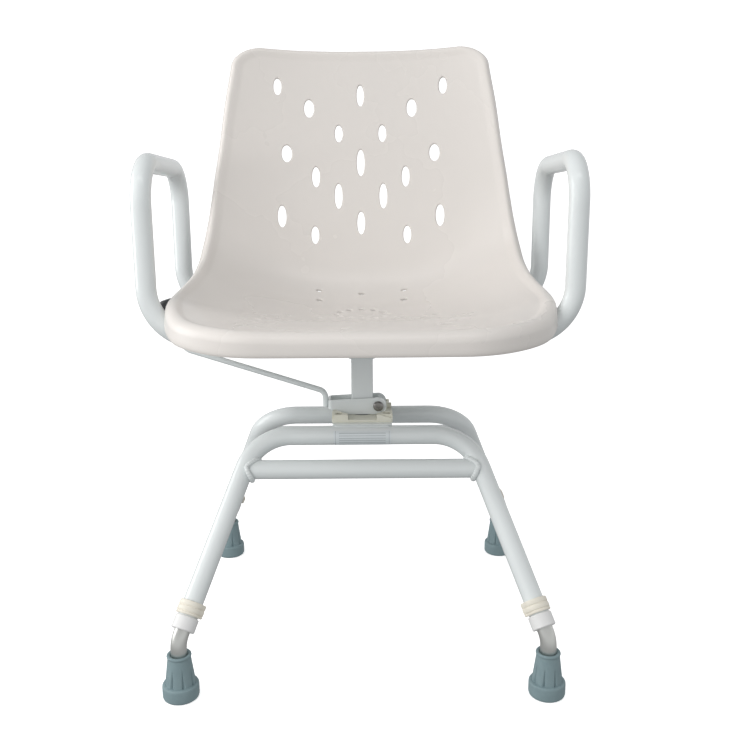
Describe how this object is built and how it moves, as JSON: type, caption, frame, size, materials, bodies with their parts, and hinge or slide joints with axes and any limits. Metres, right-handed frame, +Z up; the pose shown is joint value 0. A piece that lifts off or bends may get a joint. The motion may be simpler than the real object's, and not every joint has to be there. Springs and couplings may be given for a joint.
{
  "type": "swivel shower chair",
  "caption": "Free-standing swivel shower chair: perforated bucket seat with arm loops on a turning post, lock lever and splayed adjustable legs.",
  "frame": {"origin": "on the swivel axis, at floor level, below the middle of the base", "axes": "+Z up along the swivel axis, the seat faces -Y, +X to the right seen from the front"},
  "size_m": [0.5518, 0.4592, 0.806],
  "materials": {
    "white_powder_coat": "gloss powder coat",
    "cream_plastic": "moulded",
    "stainless": "machined",
    "foil_label": "satin foil",
    "black_plastic": "moulded",
    "white_shell": "glossy moulded",
    "white_collar": "moulded",
    "satin_tube": "satin",
    "grey_rubber": "matte",
    "cream_clip": "moulded"
  },
  "bodies": {
    "base": {"front_leg_hoop": "white_powder_coat", "rear_leg_hoop": "white_powder_coat", "front_crossbar": "white_powder_coat", "rear_crossbar": "white_powder_coat", "saddle_plate": "white_powder_coat", "hub_tube": "white_powder_coat", "index_block": "cream_plastic", "block_screws": "stainless", "thrust_washer": "stainless", "rating_label": "foil_label", "front_left_leg_collar": "white_collar", "front_right_leg_collar": "white_collar", "rear_left_leg_collar": "white_collar", "rear_right_leg_collar": "white_collar"},
    "seat": {"seat_post": "white_powder_coat", "spindle": "stainless", "spindle_washer": "stainless", "spindle_nut": "stainless", "cross_tube": "white_powder_coat", "cross_tube_plugs": "black_plastic", "left_side_rail": "white_powder_coat", "right_side_rail": "white_powder_coat", "rail_plugs": "black_plastic", "left_arm_tube": "white_powder_coat", "right_arm_tube": "white_powder_coat", "seat_shell": "white_shell", "seat_screws": "stainless", "pivot_lug": "white_powder_coat", "pivot_bolt": "stainless", "pivot_nut": "stainless"},
    "lock_lever": {"lock_yoke": "white_powder_coat", "handle_rod": "white_powder_coat", "handle_grip": "black_plastic"},
    "front_left_leg": {"front_left_leg_extension": "satin_tube", "front_left_foot_ferrule": "grey_rubber"},
    "front_left_clip": {"front_left_leg_clip": "cream_clip"},
    "front_right_leg": {"front_right_leg_extension": "satin_tube", "front_right_foot_ferrule": "grey_rubber"},
    "front_right_clip": {"front_right_leg_clip": "cream_clip"},
    "rear_left_leg": {"rear_left_leg_extension": "satin_tube", "rear_left_foot_ferrule": "grey_rubber"},
    "rear_left_clip": {"rear_left_leg_clip": "cream_clip"},
    "rear_right_leg": {"rear_right_leg_extension": "satin_tube", "rear_right_foot_ferrule": "grey_rubber"},
    "rear_right_clip": {"rear_right_leg_clip": "cream_clip"}
  },
  "joints": [
    {"name": "seat_swivel", "type": "hinge", "parent": "base", "child": "seat", "pos_m": [0, 0, 0.3064], "axis": [0, 0, 1], "continuous": true},
    {"name": "lock_lever_lift", "type": "hinge", "parent": "seat", "child": "lock_lever", "pos_m": [0.022, 0, 0.3184], "axis": [0, 1, 0], "range_deg": [0, 4.5]},
    {"name": "front_left_leg_height", "type": "slide", "parent": "base", "child": "front_left_leg", "axis": [-0.3064, -0.5644, -0.7666], "range_m": [0, 0.075]},
    {"name": "front_left_clip_pull", "type": "slide", "parent": "base", "child": "front_left_clip", "axis": [0, -0.8053, 0.5929], "range_m": [0, 0.03]},
    {"name": "front_right_leg_height", "type": "slide", "parent": "base", "child": "front_right_leg", "axis": [0.3064, -0.5644, -0.7666], "range_m": [0, 0.075]},
    {"name": "front_right_clip_pull", "type": "slide", "parent": "base", "child": "front_right_clip", "axis": [0, -0.8053, 0.5929], "range_m": [0, 0.03]},
    {"name": "rear_left_leg_height", "type": "slide", "parent": "base", "child": "rear_left_leg", "axis": [-0.3064, 0.5644, -0.7666], "range_m": [0, 0.075]},
    {"name": "rear_left_clip_pull", "type": "slide", "parent": "base", "child": "rear_left_clip", "axis": [0, 0.8053, 0.5929], "range_m": [0, 0.03]},
    {"name": "rear_right_leg_height", "type": "slide", "parent": "base", "child": "rear_right_leg", "axis": [0.3064, 0.5644, -0.7666], "range_m": [0, 0.075]},
    {"name": "rear_right_clip_pull", "type": "slide", "parent": "base", "child": "rear_right_clip", "axis": [0, 0.8053, 0.5929], "range_m": [0, 0.03]}
  ]
}
